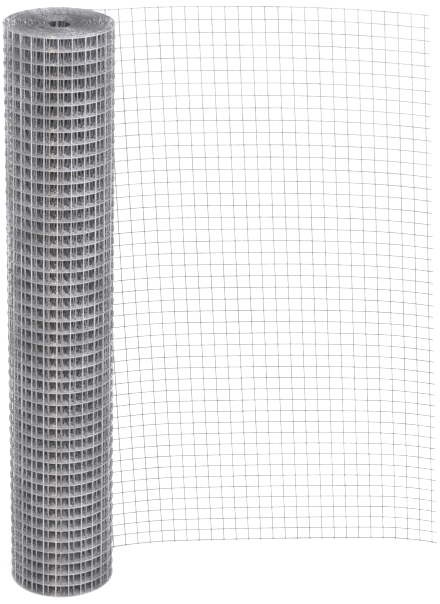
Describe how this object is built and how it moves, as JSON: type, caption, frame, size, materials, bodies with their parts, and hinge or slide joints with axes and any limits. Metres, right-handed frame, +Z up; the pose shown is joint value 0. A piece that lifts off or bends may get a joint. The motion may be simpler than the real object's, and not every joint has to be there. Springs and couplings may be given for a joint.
{
  "type": "roll of wire fencing",
  "caption": "Upright roll of galvanised square welded wire mesh with an open core, its free end unrolled behind it as a nearly flat, slightly racked sheet that keeps a curl at its end.",
  "frame": {"origin": "on the axis of the roll's open core, at the floor", "axes": "+Z up along the roll's axis, +X the way the free sheet runs, +Y towards the side of the roll where the sheet leaves it"},
  "size_m": [0.4645, 0.1077, 0.6],
  "materials": {
    "galvanised_wire": "galvanised after welding, dull zinc with soft highlights"
  },
  "bodies": {
    "root": {"roll": "galvanised_wire", "sheet_1": "galvanised_wire", "sheet_2": "galvanised_wire", "sheet_3": "galvanised_wire", "sheet_4": "galvanised_wire"}
  },
  "joints": []
}
